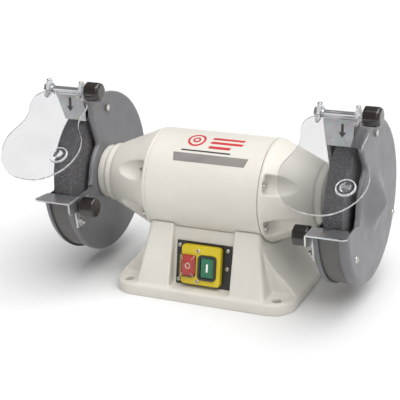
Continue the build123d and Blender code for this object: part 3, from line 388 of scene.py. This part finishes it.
def softened(node, name, voxel, passes, key):
    """A copy of a CAD casting with its hard edges rounded as a mould leaves them."""
    obj = bpy.data.objects.new(name, NODES[node].data.copy())
    bpy.context.scene.collection.objects.link(obj)
    obj.data.materials.clear()
    obj.data.materials.append(MATERIALS[key])
    weld = obj.modifiers.new("weld", "WELD")
    weld.merge_threshold = WELD_GAP
    remesh = obj.modifiers.new("remesh", "REMESH")
    remesh.mode = "VOXEL"
    remesh.voxel_size = voxel * 1.0
    remesh.use_smooth_shade = True
    relax = obj.modifiers.new("relax", "SMOOTH")
    relax.factor = 0.5
    relax.iterations = passes
    bpy.context.view_layer.update()
    evaluated = obj.evaluated_get(bpy.context.evaluated_depsgraph_get())
    mesh = bpy.data.meshes.new_from_object(evaluated)
    mesh.name = name
    obj.modifiers.clear()
    obj.data = mesh
    mesh.shade_smooth()
    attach(obj, BODY_OF[node])
    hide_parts(node)
    return obj


def add_ring(bm, points):
    return [bm.verts.new(p) for p in points]


def bridge(bm, rings, caps=True):
    """Joins each ring to the next one, and closes both ends."""
    for a, b in zip(rings, rings[1:]):
        for k in range(len(a)):
            n = (k + 1) % len(a)
            bm.faces.new((a[k], a[n], b[n], b[k]))
    if caps:
        bm.faces.new(list(reversed(rings[0])))
        bm.faces.new(rings[-1])


def ellipse(centre, u, v, steps):
    """Points round an ellipse whose two half axes are the vectors u and v."""
    turns = [2 * math.pi * k / steps for k in range(steps)]
    return [centre + u * math.cos(a) + v * math.sin(a) for a in turns]


def end_face(points, out, depth):
    """The points within depth of the furthest one along out, and the middle of that face."""
    top = max(p.dot(out) for p in points)
    near = [p for p in points if p.dot(out) > top - depth]
    centre = sum(near, Vector()) / len(near)
    return near, centre + out * (top - centre.dot(out))


def tube_along(points, radius, name, key, body, closed=False):
    """A round bead along a line of points."""
    bm = bmesh.new()
    rings = []
    side = None
    last = len(points) - 1
    for i, p in enumerate(points):
        before = points[i - 1] if i or closed else p
        after = points[(i + 1) % len(points)] if i < last or closed else p
        along = (after - before).normalized()
        side = along.orthogonal() if side is None else side - along * side.dot(along)
        side = side.normalized()
        rings.append(add_ring(bm, ellipse(p, side * radius, along.cross(side) * radius, BEAD_SIDES)))
    if closed:
        rings.append(rings[0])
    bridge(bm, rings, caps=not closed)
    return piece_from(bm, name, key, body, smooth_angle=0)


def arc(centre, radius, start, end, steps):
    """Points (y, z) on an arc given in degrees."""
    return [
        (centre[0] + radius * math.cos(math.radians(start + (end - start) * k / steps)),
         centre[1] + radius * math.sin(math.radians(start + (end - start) * k / steps)))
        for k in range(steps + 1)
    ]


def smoothed(points, times):
    """Cuts the corners of an open line, keeping its two ends."""
    for _ in range(times):
        out = [points[0]]
        for a, b in zip(points, points[1:]):
            out.append(a.lerp(b, 0.25))
            out.append(a.lerp(b, 0.75))
        out.append(points[-1])
        points = out
    return points


# ---- softened castings and mouldings ----------------------------------------------------------
softened("base", "base_casting", voxel=0.0014, passes=5, key="cream_casting")
for side_name in SIDES:
    softened(f"end_bell_{side_name}", f"bell_casting_{side_name}", voxel=0.0012, passes=4,
             key="cream_casting")
for side_name in SIDES:
    for kind in ("shield_knob", "rest_knob"):
        softened(f"{kind}_{side_name}", f"{kind}_moulding_{side_name}", voxel=0.0007, passes=14,
                 key="black_knob")


# ---- eye shields: clear sheet, with a painted highlight on its cut edges and moulded rings ----
SHIELD_TILT = math.radians(60.5)
SHIELD_OUT = Vector((0, -math.cos(SHIELD_TILT), math.sin(SHIELD_TILT)))
# nearer to the rod than this is the hinge end of the shield
HINGE_REACH = 0.013
# a face is a cut edge when the cosine between its normal and the sheet's is under this
SHEET_FACING = 0.93
# the round boss is further from the rod than this
BOSS_FROM_ROD = 0.06
BOSS_STEPS = 48
# radius of the painted-highlight bead round the boss
RING_BEAD = 0.0007
LENS_SHARE = 0.62
# share of the lens radius, and height over the boss
LENS_PROFILE = (
    (1.0, -0.0002), (0.97, 0.0006), (0.86, 0.0013), (0.66, 0.0019), (0.4, 0.0023), (0.14, 0.0025),
)


def clear_shield(side_name):
    """The sheet, with a lighter, less clear material on its cut edges as a painted highlight."""
    node = f"eye_shield_{side_name}"
    rod = centre_of(f"shield_rod_{side_name}")
    obj = bpy.data.objects.new(f"clear_shield_{side_name}", NODES[node].data.copy())
    bpy.context.scene.collection.objects.link(obj)
    mesh = obj.data
    mesh.materials.clear()
    mesh.materials.append(MATERIALS["clear_plastic"])
    mesh.materials.append(MATERIALS["clear_edge_highlight"])
    # cut-edge faces get the lighter edge material, a painted highlight
    for face in mesh.polygons:
        past_hinge = (face.center - rod).length > HINGE_REACH
        if past_hinge and abs(face.normal.dot(SHIELD_OUT)) < SHEET_FACING:
            face.material_index = 1
    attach(obj, BODY_OF[node])
    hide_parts(node)


def shield_boss(side_name):
    """The ring bead in the lighter edge material, a painted highlight, and the low lens moulded on the
    shield.
    """
    node = f"eye_shield_{side_name}"
    rod = centre_of(f"shield_rod_{side_name}")
    body = BODY_OF[node]
    far = [v.co for v in NODES[node].data.vertices if (v.co - rod).length > BOSS_FROM_ROD]
    on_top, centre = end_face(far, SHIELD_OUT, depth=0.0001)
    reach = max((p - centre).length for p in on_top)
    down = ALONG_X.cross(SHIELD_OUT)
    ring = ellipse(centre, ALONG_X * reach, down * reach, BOSS_STEPS)
    # a bead in the lighter edge material round the boss: painted highlight
    tube_along(ring, RING_BEAD, f"shield_ring_highlight_{side_name}", "clear_edge_highlight", body,
               closed=True)
    bm = bmesh.new()
    rings = []
    for share, rise in LENS_PROFILE:
        size = reach * LENS_SHARE * share
        middle = centre + SHIELD_OUT * rise
        rings.append(add_ring(bm, ellipse(middle, ALONG_X * size, down * size, BOSS_STEPS)))
    bridge(bm, rings)
    piece_from(bm, f"shield_lens_{side_name}", "clear_plastic", body, smooth_angle=60)


for side_name in SIDES:
    clear_shield(side_name)
    shield_boss(side_name)


# ---- rolled edges on the guard covers ------------------------------------------------------
# distance back from the opening, and height over the cover's face
ROLL_PROFILE = (
    (-0.0008, -0.0016), (-0.0008, 0.0008), (-0.0002, 0.0024), (0.0008, 0.0036), (0.0022, 0.0042),
    (0.0036, 0.0040), (0.0048, 0.0030), (0.0058, 0.0017), (0.0068, 0.0008), (0.0080, 0.0003),
    (0.0094, -0.0004),
)
ROLL_SINK = 0.0006
ROLL_SINK_STEPS = 5
ROLL_UNDER = 0.0012
# from the side of the wheel to the face of the outer cover
OUTER_COVER_GAP = 0.0089


def rolled_edge(cover, face_x, out, points, name):
    """A rolled edge round a cover's opening; points are shares of the cover radius about the shaft."""
    low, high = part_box(cover)
    reach = (high.z - low.z) / 2
    middle = (high.z + low.z) / 2
    line = smoothed([Vector((0, y * reach, z * reach)) for y, z in points], 3)
    bm = bmesh.new()
    rows = []
    last = len(line) - 1
    for i, p in enumerate(line):
        along = (line[min(i + 1, last)] - line[max(i - 1, 0)]).normalized()
        back = Vector((0, -along.z, along.y))
        if back.dot(-p) < 0:
            back = -back
        # the roll sinks back into the sheet at its two ends
        end = min(1.0, min(i, last - i) / ROLL_SINK_STEPS)
        row = []
        for away, rise in ROLL_PROFILE:
            height = rise * end - ROLL_SINK * (1 - end)
            row.append(Vector((face_x + out * height, p.y, middle + p.z)) + back * away)
        for away, rise in reversed(ROLL_PROFILE):
            row.append(Vector((face_x - out * ROLL_UNDER, p.y, middle + p.z)) + back * away)
        rows.append(add_ring(bm, row))
    bridge(bm, rows)
    # the rolls use the lighter grey copy, a painted highlight
    piece_from(bm, name, "grey_roll_highlight", "housing", smooth_angle=60)


inner_line = [(-0.382, 0.93), (-0.382, 0.80), (-0.30, 0.55), (-0.2608, 0.4411)]
inner_line += arc((0, 0), 0.5098, 123, 173, 14)[1:]
inner_line += [(-0.545, 0.0)]
outer_line = [(-0.535, 0.80), (-0.43, 0.64), (-0.36, 0.525), (-0.5, 0.4186)]
outer_line += arc((0, 0), 0.652, 142, 176, 8)[1:]
outer_line += [(-0.70, -0.02)]
for side_name, side in SIDES.items():
    low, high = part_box(f"guard_inner_cover_{side_name}")
    plane = high.x if side < 0 else low.x
    rolled_edge(f"guard_inner_cover_{side_name}", plane, -side, inner_line,
                f"inner_cover_roll_{side_name}")
rolled_edge("guard_outer_cover_right", WHEEL_HIGH.x + OUTER_COVER_GAP, 1, outer_line,
            "outer_cover_roll_right")


# ---- wheels with an uneven surface ---------------------------------------------------------
BORE_R = 0.010
FLANGE_R = 0.031
# the modelled grain starts a little outside the flange
GRAIN_R = 0.032
GRAIN_DEPTH = 0.00045
GRAIN_SINK = 0.00025
WHEEL_CORNER = 0.0008
WHEEL_EDGE = 0.0015
RIM_SINK = 0.0003
RIM_STEPS = 16
# where the side ends, in from the rim
SIDE_END = 0.0025
SIDE_STEPS = 14
RIM_BAND = 0.002
WHEEL_STEPS = 420


def grain(p):
    """Two sizes of grit, from about -1 to 1."""
    return noise.noise(p * 620) * 0.5 + noise.noise(p * 1400 + Vector((3, 7, 1))) * 0.5


def rough_wheel(side_name):
    low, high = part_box(f"wheel_{side_name}")
    half = (high.x - low.x) / 2
    middle = (high.x + low.x) / 2
    side_reach = WHEEL_R - SIDE_END - FLANGE_R
    flank = [(-half, BORE_R), (-half, FLANGE_R)]
    flank += [(-half, FLANGE_R + side_reach * k / SIDE_STEPS) for k in range(1, SIDE_STEPS + 1)]
    flank += [(-half + WHEEL_CORNER, WHEEL_R - WHEEL_CORNER)]
    rim_reach = half - WHEEL_EDGE
    rim = [(-rim_reach + 2 * rim_reach * k / RIM_STEPS, WHEEL_R - RIM_SINK) for k in range(RIM_STEPS + 1)]
    bm = bmesh.new()
    rings = []
    for x, r in flank + rim + [(-x, r) for x, r in reversed(flank)]:
        ring = []
        for k in range(WHEEL_STEPS):
            a = 2 * math.pi * k / WHEEL_STEPS
            radial = Vector((0, math.cos(a), math.sin(a)))
            p = Vector((middle + x, 0, SHAFT_Z)) + radial * r
            if r > GRAIN_R:
                outward = radial if r > WHEEL_R - RIM_BAND else math.copysign(1, x) * ALONG_X
                p += outward * (grain(p) * GRAIN_DEPTH - GRAIN_SINK)
            ring.append(p)
        rings.append(add_ring(bm, ring))
    rings.append(rings[0])
    bridge(bm, rings, caps=False)
    piece_from(bm, f"grinding_wheel_{side_name}", "abrasive", "rotor", (f"wheel_{side_name}",), 50)


for side_name in SIDES:
    rough_wheel(side_name)


# ---- screws with domed, cross-slotted heads ------------------------------------------------
# share of the head radius, and drop from the crown as a share of the head height
HEAD_PROFILE = (
    (0.05, 0.0), (0.16, 0.0), (0.30, 0.02), (0.48, 0.06), (0.66, 0.16), (0.82, 0.30),
    (0.94, 0.52), (1.0, 0.80), (1.0, 1.0),
)
HEAD_STEPS = 48
# the cross recess, as shares of the head radius and height
RECESS_HALF = 0.13
RECESS_REACH = 0.58
RECESS_DEPTH = 0.62
SHANK_SHARE = 0.45


def loose_parts(node):
    """The vertices of each separate solid of a CAD node."""
    bm = bmesh.new()
    bm.from_mesh(NODES[node].data)
    bmesh.ops.remove_doubles(bm, verts=bm.verts, dist=1e-6)
    left = set(bm.verts)
    parts = []
    while left:
        stack = [left.pop()]
        group = list(stack)
        while stack:
            v = stack.pop()
            for e in v.link_edges:
                o = e.other_vert(v)
                if o in left:
                    left.remove(o)
                    stack.append(o)
                    group.append(o)
        parts.append([v.co.copy() for v in group])
    bm.free()
    return parts


def recess_depth(u, v):
    """Depth of the cross recess at a place on the head."""
    arm = min(abs(u), abs(v))
    if arm < RECESS_HALF and max(abs(u), abs(v)) < RECESS_REACH:
        return RECESS_DEPTH * (1 - arm / (2 * RECESS_HALF))
    return 0.0


def screw_heads(node, normals, radius, height, name, shank=0.004):
    """Pan heads with a cross recess, one on each solid of a grouped CAD node."""
    bm = bmesh.new()
    for part in loose_parts(node):
        middle = sum(part, Vector()) / len(part)
        axis = normals(middle).normalized()
        centre = end_face(part, axis, depth=0.0003)[1]
        # each screw has stopped at its own turn
        turn = 0.7 + 37 * (middle.x + middle.y + middle.z)
        flat = axis.orthogonal().normalized()
        side = flat * math.cos(turn) + axis.cross(flat) * math.sin(turn)
        other = axis.cross(side)
        rings = []
        for share, drop in HEAD_PROFILE:
            ring = []
            for k in range(HEAD_STEPS):
                a = 2 * math.pi * k / HEAD_STEPS
                u = share * math.cos(a)
                v = share * math.sin(a)
                sunk = (drop + recess_depth(u, v)) * height
                ring.append(centre + (side * u + other * v) * radius - axis * sunk)
            rings.append(add_ring(bm, ring))
        under = centre - axis * height
        neck = [under + (v.co - under) * SHANK_SHARE for v in rings[-1]]
        rings.append(add_ring(bm, neck))
        rings.append(add_ring(bm, [p - axis * shank for p in neck]))
        bridge(bm, rings)
    piece_from(bm, name, "zinc_fastener", BODY_OF[node], (node,), 40)


SWITCH_TILT = math.radians(13.5)
SWITCH_OUT = Vector((0, -math.cos(SWITCH_TILT), math.sin(SWITCH_TILT)))
SWITCH_UP = Vector((0, math.sin(SWITCH_TILT), math.cos(SWITCH_TILT)))

screw_heads("switch_plate_screws", lambda m: SWITCH_OUT, radius=0.0027, height=0.0016,
            name="plate_screw_heads")
screw_heads("switch_face_screws", lambda m: SWITCH_OUT, radius=0.0026, height=0.0014,
            name="face_screw_heads")
screw_heads("cover_screws", lambda m: Vector((math.copysign(1, m.x), 0, 0)), radius=0.0044,
            height=0.0026, name="cover_screw_heads")
for side_name in SIDES:
    screw_heads(f"eye_shield_screws_{side_name}", lambda m: Vector((0, 0, 1)), radius=0.0030,
                height=0.0017, name=f"shield_screw_heads_{side_name}", shank=0.0002)


# ---- switch buttons ---------------------------------------------------------------------------
# printed marks start this far under the surface and stand this far over it
PRINT_SINK = 0.0002
PRINT_LIFT = 0.00025
RING_STEPS = 64
ROUND_END_STEPS = 8
CORNER_STEPS = 6


def button_front(node):
    """The middle of a button's front face."""
    points = [v.co for v in NODES[node].data.vertices]
    us = [p.x for p in points]
    vs = [p.dot(SWITCH_UP) for p in points]
    top = max(p.dot(SWITCH_OUT) for p in points)
    return ALONG_X * (min(us) + max(us)) / 2 + SWITCH_UP * (min(vs) + max(vs)) / 2 + SWITCH_OUT * top


def on_button(front, u, v, depth):
    """A place given across, up and out from the middle of a button's front."""
    return front + ALONG_X * u + SWITCH_UP * v + SWITCH_OUT * depth


def raised_ring(centre, half_u, half_v, width, height, name, key, body):
    """A flat printed ring on a button."""
    bm = bmesh.new()
    rings = []
    for grow, rise in ((0, -PRINT_SINK), (0, height), (-width, height), (-width, -PRINT_SINK)):
        line = ellipse(centre + SWITCH_OUT * rise, ALONG_X * (half_u + grow), SWITCH_UP * (half_v + grow),
                       RING_STEPS)
        rings.append(add_ring(bm, line))
    rings.append(rings[0])
    bridge(bm, rings, caps=False)
    piece_from(bm, name, key, body)


def raised_bar(centre, length, width, height, name, key, body):
    """A flat printed bar with round ends."""
    bm = bmesh.new()
    line = []
    for end in (1, -1):
        for k in range(ROUND_END_STEPS + 1):
            a = math.pi * k / ROUND_END_STEPS - math.pi / 2
            up = end * (length - width + width * math.cos(a)) / 2
            line.append(centre + SWITCH_UP * up + ALONG_X * (end * math.sin(a) * width / 2))
    bridge(bm, [add_ring(bm, [p + SWITCH_OUT * rise for p in line]) for rise in (-PRINT_SINK, height)])
    piece_from(bm, name, key, body)


def moulded_block(front, loops, name, key, body, replaces=()):
    """A moulding of rounded rectangles: each loop is half width, half height, corner, depth."""
    bm = bmesh.new()
    rings = []
    for half_u, half_v, corner, depth in loops:
        ring = []
        for turn, (sign_u, sign_v) in enumerate(CORNERS):
            for k in range(CORNER_STEPS + 1):
                a = math.radians(90 * (turn + k / CORNER_STEPS))
                u = sign_u * (half_u - corner) + corner * math.cos(a)
                v = sign_v * (half_v - corner) + corner * math.sin(a)
                ring.append(on_button(front, u, v, depth))
        rings.append(add_ring(bm, ring))
    bridge(bm, rings)
    piece_from(bm, name, key, body, replaces, 30)


stop_front = button_front("stop_button")
start_front = button_front("start_button")
# the clear cap sits a little off the middle of the button
cap_front = stop_front - ALONG_X * 0.0003
CORE_TOP = -0.0027
# radius of the painted-highlight beads on the cap's corners
CAP_EDGE_BEAD = 0.0003
moulded_block(
    stop_front,
    [(0.0078, 0.0118, 0.0016, -0.0098), (0.0078, 0.0118, 0.0016, -0.0034),
     (0.0075, 0.0115, 0.0014, -0.0029), (0.0070, 0.0110, 0.0012, CORE_TOP)],
    "stop_button_core", "red_plastic", "stop_button", ("stop_button",),
)
moulded_block(
    cap_front,
    [(0.0098, 0.0138, 0.0018, -0.0023), (0.0101, 0.0141, 0.0020, -0.0021),
     (0.0102, 0.0142, 0.0021, -0.0012), (0.0098, 0.0138, 0.0018, -0.0009),
     (0.0058, 0.0086, 0.0008, 0.0004), (0.0054, 0.0082, 0.0006, 0.00055)],
    "stop_button_cap", "clear_cap", "stop_button", (),
)
# beads in the lighter edge material down the cap's four corners: painted highlight
for index, (u, v) in enumerate(CORNERS):
    inner = on_button(cap_front, u * 0.0056, v * 0.0084, 0.0004)
    outer = on_button(cap_front, u * 0.0095, v * 0.0135, -0.0010)
    tube_along([inner, inner.lerp(outer, 0.5), outer], CAP_EDGE_BEAD, f"stop_cap_highlight_{index}",
               "clear_edge_highlight", "stop_button")
raised_ring(stop_front + SWITCH_OUT * CORE_TOP, half_u=0.0034, half_v=0.0038, width=0.0012,
            height=0.0002, name="stop_mark", key="white_mark", body="stop_button")
raised_bar(start_front, length=0.0105, width=0.0023, height=PRINT_LIFT,
           name="start_mark", key="white_mark", body="start_button")


# ---- plain marks on the motor tube ---------------------------------------------------------
TUBE_SINK = 0.0003
PATCH_STEPS_X = 40
PATCH_STEPS_ROUND = 16
TUBE_RING_STEPS = 72


def tube_point(x, angle, radius):
    """A point over the tube; the angle is in radians up from the operator's side."""
    return Vector((x, -radius * math.cos(angle), SHAFT_Z + radius * math.sin(angle)))


def tube_patch(outline, name, key):
    """A thin four-sided plate wrapped on the tube; its corners are (x, degrees round the tube)."""
    bm = bmesh.new()
    corners = [Vector(p) for p in outline]
    grid = []
    for i in range(PATCH_STEPS_ROUND + 1):
        left = corners[0].lerp(corners[3], i / PATCH_STEPS_ROUND)
        right = corners[1].lerp(corners[2], i / PATCH_STEPS_ROUND)
        grid.append([left.lerp(right, j / PATCH_STEPS_X) for j in range(PATCH_STEPS_X + 1)])
    low, high = [
        [add_ring(bm, [tube_point(p.x, math.radians(p.y), radius) for p in row]) for row in grid]
        for radius in (HOUSING_R - TUBE_SINK, HOUSING_R + PRINT_LIFT)
    ]
    for i in range(PATCH_STEPS_ROUND):
        for j in range(PATCH_STEPS_X):
            bm.faces.new((high[i][j], high[i][j + 1], high[i + 1][j + 1], high[i + 1][j]))
            bm.faces.new((low[i][j], low[i + 1][j], low[i + 1][j + 1], low[i][j + 1]))
    for j in range(PATCH_STEPS_X):
        bm.faces.new((low[0][j], low[0][j + 1], high[0][j + 1], high[0][j]))
        bm.faces.new((low[-1][j], high[-1][j], high[-1][j + 1], low[-1][j + 1]))
    for i in range(PATCH_STEPS_ROUND):
        bm.faces.new((low[i][0], high[i][0], high[i + 1][0], low[i + 1][0]))
        bm.faces.new((low[i][-1], low[i + 1][-1], high[i + 1][-1], high[i][-1]))
    piece_from(bm, name, key, "housing", smooth_angle=40)


def tube_ring(x, degrees, outer, inner, name, key):
    """A flat ring wrapped on the tube; its two radii are measured along the surface."""
    bm = bmesh.new()
    under = HOUSING_R - TUBE_SINK
    over = HOUSING_R + PRINT_LIFT
    rings = []
    for size, radius in ((outer, under), (outer, over), (inner, over), (inner, under)):
        ring = []
        for k in range(TUBE_RING_STEPS):
            a = 2 * math.pi * k / TUBE_RING_STEPS
            turn = math.radians(degrees) + size * math.sin(a) / HOUSING_R
            ring.append(tube_point(x + size * math.cos(a), turn, radius))
        rings.append(add_ring(bm, ring))
    rings.append(rings[0])
    bridge(bm, rings, caps=False)
    piece_from(bm, name, key, "housing", smooth_angle=40)


EMBLEM_X = -0.020
EMBLEM_DEGREES = 74
BAR_LEFT = -0.001
BAR_RIGHTS = (0.040, 0.040, 0.027)
BAR_TOP = 81
BAR_PITCH = 7.5
BAR_HEIGHT = 3.6
BAR_SLANT = 0.0012
tube_patch([(-0.040, 43), (0.052, 43), (0.055, 53.5), (-0.043, 53.5)], "label_strip", "grey_mark")
tube_patch([(-0.034, 56.5), (0.030, 56.5), (0.030, 58.3), (-0.034, 58.3)], "label_rule", "dark_mark")
tube_ring(EMBLEM_X, EMBLEM_DEGREES, 0.0115, 0.0088, "label_wheel_ring", "red_mark")
tube_ring(EMBLEM_X, EMBLEM_DEGREES, 0.0050, 0.0026, "label_wheel_hub", "red_mark")
for index, right in enumerate(BAR_RIGHTS):
    top = BAR_TOP - BAR_PITCH * index
    foot = top - BAR_HEIGHT
    tube_patch([(BAR_LEFT, foot), (right, foot), (right + BAR_SLANT, top), (BAR_LEFT + BAR_SLANT, top)],
               f"label_bar_{index}", "red_mark")


# ---- plain arrow on each spark deflector -----------------------------------------------------
# (across, up) from the root of the arrow's head
ARROW = (
    (-0.0016, 0.011), (0.0016, 0.011), (0.0016, 0.0), (0.0045, 0.0), (0.0, -0.0065),
    (-0.0045, 0.0), (-0.0016, 0.0),
)
ARROW_SHIFT = 0.001
ARROW_SHARE = 0.62
ARROW_SINK = 0.0001
ARROW_LIFT = 0.0002
# where to look for the edges of the deflector's front face, from its foot and from the rod
UPPER_PART = 0.036
BEHIND_ROD = 0.003
NEAR_ROD = 0.004
SAME_LEVEL = 0.0005


def leaning_face(node, rod):
    """The upper and lower edge of the deflector's front face, at x = 0."""
    verts = [v.co for v in NODES[node].data.vertices]
    foot_z = min(v.z for v in verts if v.y < rod.y + NEAR_ROD)
    foot_y = min(v.y for v in verts if v.z < foot_z + SAME_LEVEL)
    upper = [v for v in verts if v.z > foot_z + UPPER_PART and v.y > rod.y + BEHIND_ROD]
    top_z = max(v.z for v in upper if abs(v.z - rod.z) < NEAR_ROD)
    top_y = min(v.y for v in upper if abs(v.z - top_z) < SAME_LEVEL)
    return Vector((0, top_y, top_z)), Vector((0, foot_y, foot_z))


def arrow_on_deflector(side_name):
    node = f"spark_deflector_{side_name}"
    top, foot = leaning_face(node, centre_of(f"shield_rod_{side_name}"))
    down = (foot - top).normalized()
    out = Vector((0, down.z, -down.y))
    if out.y > 0:
        out = -out
    root = top.lerp(foot, ARROW_SHARE) + ALONG_X * (centre_of(node).x + ARROW_SHIFT)
    bm = bmesh.new()
    rings = []
    for rise in (-ARROW_SINK, ARROW_LIFT):
        rings.append(add_ring(bm, [root + ALONG_X * x - down * y + out * rise for x, y in ARROW]))
    bridge(bm, rings)
    piece_from(bm, f"direction_arrow_{side_name}", "dark_mark", BODY_OF[node])


for side_name in SIDES:
    arrow_on_deflector(side_name)


# ---- floor and light ---------------------------------------------------------------------------
FLOOR_HALF = 6
SKY_ENERGY = 3.8
SKY_SPREAD = math.radians(70)
SKY_DIRECTION = Vector((-0.34, 0.10, -0.93))
STRIP_PLACE = Vector((0.5, -1.5, 1.3))
STRIP_AIM = Vector((0, 0, 0.12))
STRIP_WIDTH = 0.7
STRIP_HEIGHT = 0.5
STRIP_POWER = 4
# the world is bright up to the first height and dim from the second one
HORIZON_HEIGHTS = (0.08, 0.32)
HORIZON_GLOW = 0.95
OVERHEAD_GLOW = 0.26


def white_floor():
    bm = bmesh.new()
    bmesh.ops.create_grid(bm, x_segments=2, y_segments=2, size=FLOOR_HALF)
    mesh = bpy.data.meshes.new("floor")
    bm.to_mesh(mesh)
    bm.free()
    floor = bpy.data.objects.new("floor", mesh)
    bpy.context.scene.collection.objects.link(floor)
    s = Shade("floor")
    s.color(s.ramp(s.noise(3, 2), (NOISE_LOW, rgb(222, 222, 222)), (NOISE_HIGH, rgb(226, 226, 226))))
    s.set(Roughness=0.9, Specular_IOR_Level=0.1)
    mesh.materials.append(MATERIALS["floor"])


def studio_world():
    world = bpy.data.worlds.new("studio")
    world.use_nodes = True
    tree = world.node_tree
    direction = tree.nodes.new("ShaderNodeTexCoord").outputs["Generated"]
    split = tree.nodes.new("ShaderNodeSeparateXYZ")
    tree.links.new(direction, split.inputs["Vector"])
    fade = tree.nodes.new("ShaderNodeMapRange")
    fade.inputs["From Min"].default_value, fade.inputs["From Max"].default_value = HORIZON_HEIGHTS
    fade.inputs["To Min"].default_value = HORIZON_GLOW
    fade.inputs["To Max"].default_value = OVERHEAD_GLOW
    tree.links.new(split.outputs["Z"], fade.inputs["Value"])
    tree.nodes["Background"].inputs["Color"].default_value = (1.0, 1.0, 1.0, 1.0)
    tree.links.new(fade.outputs["Result"], tree.nodes["Background"].inputs["Strength"])
    bpy.context.scene.world = world


def add_light(name, data, direction):
    """Adds a light that shines along a direction."""
    light = bpy.data.objects.new(name, data)
    light.rotation_euler = direction.to_track_quat("-Z", "Y").to_euler()
    bpy.context.scene.collection.objects.link(light)
    return light


def sky_light():
    data = bpy.data.lights.new("sky", "SUN")
    data.energy = SKY_ENERGY
    data.angle = SKY_SPREAD
    add_light("sky", data, SKY_DIRECTION)


def strip_light():
    data = bpy.data.lights.new("strip", "AREA")
    data.shape = "RECTANGLE"
    data.size = STRIP_WIDTH
    data.size_y = STRIP_HEIGHT
    data.energy = STRIP_POWER
    add_light("strip", data, STRIP_AIM - STRIP_PLACE).location = STRIP_PLACE


white_floor()
studio_world()
sky_light()
strip_light()
